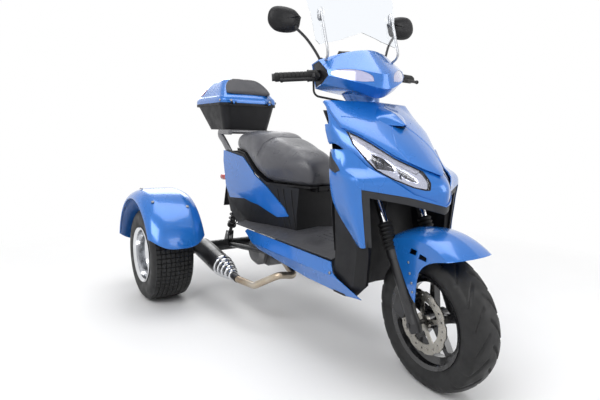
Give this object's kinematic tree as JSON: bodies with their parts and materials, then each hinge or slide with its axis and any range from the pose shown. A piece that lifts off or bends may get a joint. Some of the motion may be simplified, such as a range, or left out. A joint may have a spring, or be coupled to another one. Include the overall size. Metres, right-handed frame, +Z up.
{
  "type": "motor trike",
  "caption": "Scooter-style motor trike with a raked fork, wide rear wheels under arched fenders, step-through floor, stepped seat and luggage box.",
  "frame": {"origin": "on the ground under the middle of the trike's bounding box", "axes": "+X toward the front wheel, +Y to the rider's left, +Z up"},
  "size_m": [1.9471, 1.286, 1.4493],
  "materials": {
    "black_steel": "satin",
    "engine_alloy": "satin",
    "heated_steel": "satin",
    "black_rim": "gloss",
    "tyre": "matte",
    "steel": "satin",
    "polished_alloy": "polished",
    "chrome": "polished",
    "rubber": "matte",
    "blue_paint": "gloss",
    "black_plastic": "matte",
    "grey_plastic": "matte",
    "clear_lamp": "gloss",
    "clear_screen": "gloss",
    "grey_steel": "satin",
    "grey_pad": "textured",
    "red_lamp": "gloss",
    "seat_vinyl": "satin"
  },
  "bodies": {
    "chassis": {"engine": "engine_alloy", "exhaust_pipe": "heated_steel", "floorboard": "grey_plastic", "frame": "black_steel", "front_cover": "blue_paint", "headlamps": "clear_lamp", "inner_shield": "grey_plastic", "luggage_rail": "grey_steel", "muffler": "black_steel", "plate_bracket": "black_plastic", "rear_fenders": "blue_paint", "rear_panels": "blue_paint", "rear_subframe": "black_steel", "seat_pedestal": "grey_plastic", "shield_flares": "blue_paint", "shock_absorbers": "black_steel", "side_skirts": "blue_paint", "storage_bin": "black_plastic", "tail_lamp": "red_lamp", "top_box": "black_plastic", "wheel_well": "black_plastic"},
    "steering": {"fork_yoke": "black_steel", "fork_sliders": "black_steel", "fork_tubes": "chrome", "fork_boots": "rubber", "front_fender": "blue_paint", "brake_caliper": "engine_alloy", "handlebar": "black_steel", "grips": "rubber", "hand_controls": "black_plastic", "brake_hose": "rubber", "cowl_lamps": "clear_lamp", "bar_cowl": "blue_paint", "instrument_panel": "black_plastic", "mirrors": "black_plastic", "windshield": "clear_screen", "windshield_rods": "grey_steel"},
    "front_wheel": {"front_rim": "black_rim", "front_tyre": "tyre", "brake_disc": "steel"},
    "rear_wheel_right": {"rear_rim_right": "polished_alloy", "rear_tyre_right": "tyre"},
    "rear_wheel_left": {"rear_rim_left": "polished_alloy", "rear_tyre_left": "tyre"},
    "seat": {"seat_pan": "black_plastic", "seat_cushion": "seat_vinyl"},
    "box_lid_body": {"box_lid": "blue_paint", "lid_pad": "grey_pad"}
  },
  "joints": [
    {"name": "steering", "type": "hinge", "parent": "chassis", "child": "steering", "pos_m": [0.48102, 0, 0.672], "axis": [-0.454, 0, 0.891], "range_deg": [-32.7, 47.3]},
    {"name": "front_wheel_spin", "type": "hinge", "parent": "steering", "child": "front_wheel", "pos_m": [0.7382, -0.00402, 0.23638], "axis": [0.1132, 0.9919, 0.0577], "continuous": true},
    {"name": "rear_wheel_right_spin", "type": "hinge", "parent": "chassis", "child": "rear_wheel_right", "pos_m": [-0.60057, -0.5075, 0.2295], "axis": [0, 1, 0], "continuous": true},
    {"name": "rear_wheel_left_spin", "type": "hinge", "parent": "chassis", "child": "rear_wheel_left", "pos_m": [-0.60057, 0.5075, 0.2295], "axis": [0, 1, 0], "continuous": true},
    {"name": "seat_hinge", "type": "hinge", "parent": "chassis", "child": "seat", "pos_m": [0.08543, 0, 0.5967], "axis": [0, 1, 0], "range_deg": [0, 45]},
    {"name": "box_lid_hinge", "type": "hinge", "parent": "chassis", "child": "box_lid_body", "pos_m": [-0.57957, 0, 1], "axis": [0, 1, 0], "range_deg": [0, 75]}
  ]
}
